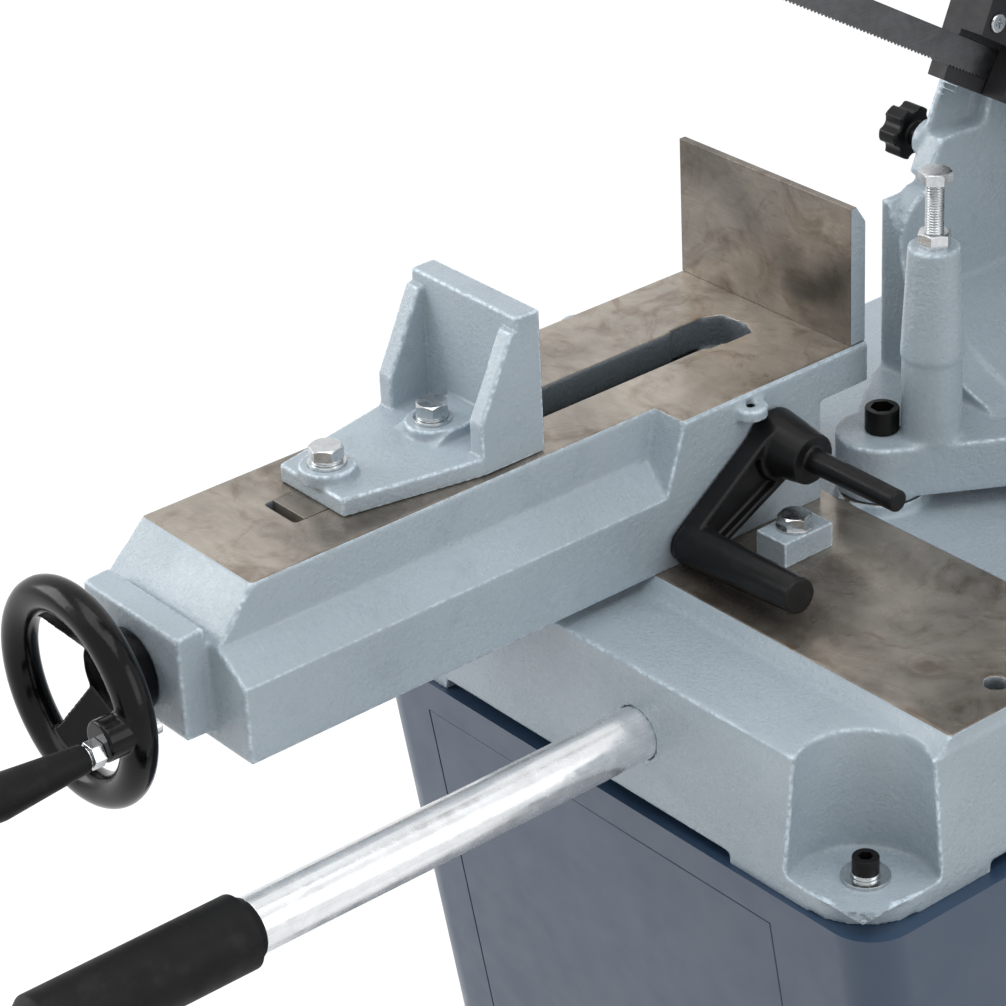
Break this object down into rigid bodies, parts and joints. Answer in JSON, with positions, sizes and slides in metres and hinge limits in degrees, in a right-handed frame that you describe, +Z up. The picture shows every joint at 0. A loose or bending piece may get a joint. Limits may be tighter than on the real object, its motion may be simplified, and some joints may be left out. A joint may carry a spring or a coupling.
{
  "type": "metal cutting band saw",
  "caption": "Metal cutting band saw with a swivelling head, sliding vise with handwheel, pull handle and sheet metal stand.",
  "frame": {"origin": "on the floor under the middle of the stand's width, 80 mm in front of the floor bolts' centre", "axes": "+X to the machine's right, +Y to its back, +Z up"},
  "size_m": [0.6043, 1.137, 1.6853],
  "materials": {
    "cast_paint": "gloss",
    "machined_iron": "machined, stained",
    "stand_paint": "fine texture",
    "dark_frame": "satin",
    "tank_paint": "satin",
    "zinc": "zinc plated",
    "black_oxide": "black oxide",
    "chrome_tube": "polished",
    "black_rubber": "matte",
    "bright_steel": "turned",
    "bronze": "turned",
    "gloss_black": "gloss",
    "black_plastic": "satin",
    "guide_black": "textured",
    "blade_steel": "satin",
    "cover_paint": "gloss",
    "motor_paint": "satin",
    "wheel_iron": "satin",
    "box_grey": "satin",
    "green_plastic": "gloss",
    "red_plastic": "gloss",
    "dark_plastic": "matte"
  },
  "bodies": {
    "base": {"stand_shell": "stand_paint", "stand_front_panel": "stand_paint", "floor_frame": "dark_frame", "coolant_tank": "tank_paint", "base_casting": "cast_paint", "base_washers": "zinc", "base_screws": "black_oxide", "stop_block": "cast_paint", "stop_block_bolt": "zinc", "pivot_screw": "black_oxide", "control_box": "box_grey"},
    "pull_handle": {"pull_tube": "chrome_tube", "pull_grip": "black_rubber"},
    "vise": {"vise_bed": "cast_paint", "fixed_jaw": "machined_iron", "grub_screws": "black_oxide", "clamp_stud": "bright_steel", "screw_bush": "bronze"},
    "handwheel": {"lead_screw": "bright_steel", "handwheel": "gloss_black", "handle_spindle": "zinc"},
    "grip": {"handle_grip": "black_plastic"},
    "jaw": {"slide_block": "machined_iron", "lead_nut": "bronze", "movable_jaw": "cast_paint", "jaw_bolts": "zinc"},
    "lever": {"lock_lever": "gloss_black", "lever_shaft": "bright_steel"},
    "arm": {"swivel_arm": "cast_paint", "stop_bolt": "zinc", "stop_nut": "zinc", "hinge_shaft": "bright_steel"},
    "horn_knob": {"horn_knob": "black_plastic"},
    "bow": {"bow_frame": "cast_paint", "hinge_bushes": "bronze", "wheel_cover": "cover_paint", "cover_screws": "zinc", "saw_blade": "blade_steel", "rear_guide": "guide_black", "guide_screw": "zinc", "gearbox": "motor_paint", "motor": "motor_paint", "fan_cover": "motor_paint", "terminal_box": "dark_plastic", "bow_handle": "black_plastic"},
    "front_guide": {"front_guide_arm": "cast_paint", "front_guide": "guide_black"},
    "guide_lock_knob": {"guide_lock_knob": "black_plastic"},
    "drive": {"drive_wheel": "wheel_iron", "worm_wheel": "bronze"},
    "rotor": {"worm_shaft": "bright_steel"},
    "idler_carrier": {"idler_slide": "bright_steel"},
    "idler": {"idler_wheel": "wheel_iron"},
    "tension_knob": {"tension_knob": "black_plastic"},
    "cylinder": {"feed_cylinder": "dark_frame"},
    "feed_rod": {"feed_rod": "chrome_tube"},
    "feed_valve_knob": {"feed_valve_knob": "red_plastic"},
    "start_button": {"start_button": "green_plastic"},
    "stop_button": {"stop_button": "red_plastic"},
    "main_switch": {"main_switch": "black_plastic"}
  },
  "joints": [
    {"name": "vise_slide", "type": "slide", "parent": "base", "child": "vise", "axis": [-1, 0, 0], "range_m": [0, 0.08]},
    {"name": "handwheel_turn", "type": "hinge", "parent": "vise", "child": "handwheel", "pos_m": [-0.11, -0.541, 0.821], "axis": [0, 1, 0], "range_deg": [-360, 16200]},
    {"name": "grip_spin", "type": "hinge", "parent": "handwheel", "child": "grip", "pos_m": [-0.05308, -0.62, 0.81802], "axis": [0, 1, 0], "continuous": true},
    {"name": "jaw_slide", "type": "slide", "parent": "vise", "child": "jaw", "axis": [0, 1, 0], "range_m": [-0.005, 0.225]},
    {"name": "lock_lever_turn", "type": "hinge", "parent": "vise", "child": "lever", "pos_m": [-0.027, -0.073, 0.842], "axis": [1, 0, 0], "range_deg": [-24, 0]},
    {"name": "pull_handle_slide", "type": "slide", "parent": "base", "child": "pull_handle", "axis": [0, 1, 0], "range_m": [0, 0.27]},
    {"name": "swivel", "type": "hinge", "parent": "base", "child": "arm", "pos_m": [-0.015, 0.013, 0.802], "axis": [0, 0, 1], "range_deg": [0, 35]},
    {"name": "horn_knob_turn", "type": "hinge", "parent": "arm", "child": "horn_knob", "pos_m": [-0.098, 0.121, 0.97], "axis": [-1, 0, 0], "range_deg": [-720, 0]},
    {"name": "head_tilt", "type": "hinge", "parent": "arm", "child": "bow", "pos_m": [0.05, 0.3884, 0.92], "axis": [-1, 0, 0], "range_deg": [-30.3, 18]},
    {"name": "front_guide_slide", "type": "slide", "parent": "bow", "child": "front_guide", "axis": [0, 0.863, -0.5053], "range_m": [-0.05, 0.02]},
    {"name": "guide_knob_turn", "type": "hinge", "parent": "front_guide", "child": "guide_lock_knob", "pos_m": [0.13923, -0.05281, 1.33098], "axis": [0.866, -0.2526, -0.4315], "range_deg": [-360, 360]},
    {"name": "drive_spin", "type": "hinge", "parent": "bow", "child": "drive", "pos_m": [0.036, 0.30379, 1.04941], "axis": [-0.866, 0.2526, 0.4315], "continuous": true},
    {"name": "rotor_spin", "type": "hinge", "parent": "bow", "child": "rotor", "pos_m": [0.11567, 0.25207, 1.02639], "axis": [0.5, 0.4376, 0.7473], "continuous": true},
    {"name": "tension_slide", "type": "slide", "parent": "bow", "child": "idler_carrier", "axis": [0, 0.863, -0.5053], "range_m": [0, 0.008]},
    {"name": "tension_knob_turn", "type": "hinge", "parent": "bow", "child": "tension_knob", "pos_m": [0.0767, -0.54515, 1.51925], "axis": [0, 0.863, -0.5053], "range_deg": [0, 1440]},
    {"name": "idler_spin", "type": "hinge", "parent": "idler_carrier", "child": "idler", "pos_m": [0.036, -0.39002, 1.45565], "axis": [-0.866, 0.2526, 0.4315], "continuous": true},
    {"name": "cylinder_swing", "type": "hinge", "parent": "arm", "child": "cylinder", "pos_m": [0.138, 0.345, 0.84], "axis": [-1, 0, 0], "range_deg": [-16, 10]},
    {"name": "rod_slide", "type": "slide", "parent": "cylinder", "child": "feed_rod", "axis": [0, -0.2291, 0.9734], "range_m": [-0.035, 0.0215]},
    {"name": "valve_knob_turn", "type": "hinge", "parent": "cylinder", "child": "feed_valve_knob", "pos_m": [0.138, 0.30628, 0.9028], "axis": [0, -0.9734, -0.2291], "range_deg": [-360, 0]},
    {"name": "start_press", "type": "slide", "parent": "base", "child": "start_button", "axis": [-1, 0, 0], "range_m": [0, 0.004], "stiffness_N_per_m": 400},
    {"name": "stop_press", "type": "slide", "parent": "base", "child": "stop_button", "axis": [-1, 0, 0], "range_m": [0, 0.006], "stiffness_N_per_m": 500},
    {"name": "main_switch_turn", "type": "hinge", "parent": "base", "child": "main_switch", "pos_m": [0.316, 0.18, 0.57], "axis": [1, 0, 0], "range_deg": [0, 90]}
  ],
  "couplings": [
    {"joint": "jaw_slide", "follows": "handwheel_turn", "m_per_rad": 0.00079577},
    {"joint": "rotor_spin", "follows": "drive_spin", "ratio": 20},
    {"joint": "idler_spin", "follows": "drive_spin", "ratio": 1},
    {"joint": "tension_knob_turn", "follows": "tension_slide", "rad_per_m": 3141.6},
    {"joint": "cylinder_swing", "follows": "head_tilt", "ratio": 0.49},
    {"joint": "rod_slide", "follows": "head_tilt", "m_per_rad": 0.063598}
  ]
}
